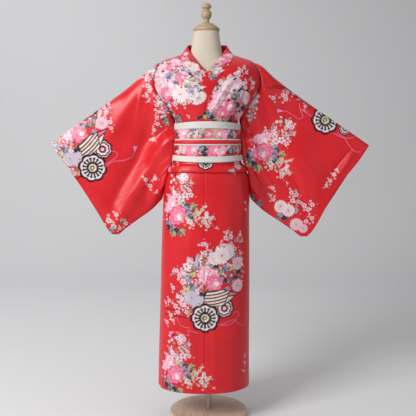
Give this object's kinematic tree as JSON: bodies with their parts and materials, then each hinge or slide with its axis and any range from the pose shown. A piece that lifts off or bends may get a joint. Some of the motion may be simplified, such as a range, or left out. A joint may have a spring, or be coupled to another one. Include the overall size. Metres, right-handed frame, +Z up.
{
  "type": "kimono on dress form",
  "caption": "Wrapped long robe with wide hanging sleeves and a banded sash, worn on a limbless dress form on a pole stand.",
  "frame": {"origin": "centre of the foot's underside, on the floor", "axes": "+Z up, -Y the way the wearer faces, +X the wearer's left"},
  "size_m": [1.2366, 0.31, 1.6181],
  "materials": {
    "red_satin": "red printed satin with a soft sheen",
    "sash_cloth": "patterned sash cloth",
    "white_band": "off-white woven band",
    "sash_cord": "flat red sash cord",
    "form_linen": "cream linen over a hard form",
    "turned_wood": "turned light wood, satin lacquer",
    "pole_metal": "greige painted tube",
    "foot_wood": "brown wood disc, satin lacquer"
  },
  "bodies": {
    "root": {"front_left": "red_satin", "front_right": "red_satin", "back_left": "red_satin", "back_right": "red_satin", "okumi_left": "red_satin", "okumi_right": "red_satin", "collar": "red_satin", "sleeve_left": "red_satin", "sleeve_right": "red_satin", "obi": "sash_cloth", "obi_band_top": "white_band", "obi_band_bottom": "white_band", "obijime": "sash_cord", "obijime_edge_top": "white_band", "obijime_edge_bottom": "white_band", "form_torso": "form_linen", "neck_cap": "turned_wood", "finial": "turned_wood", "pole": "pole_metal", "foot": "foot_wood"}
  },
  "joints": []
}
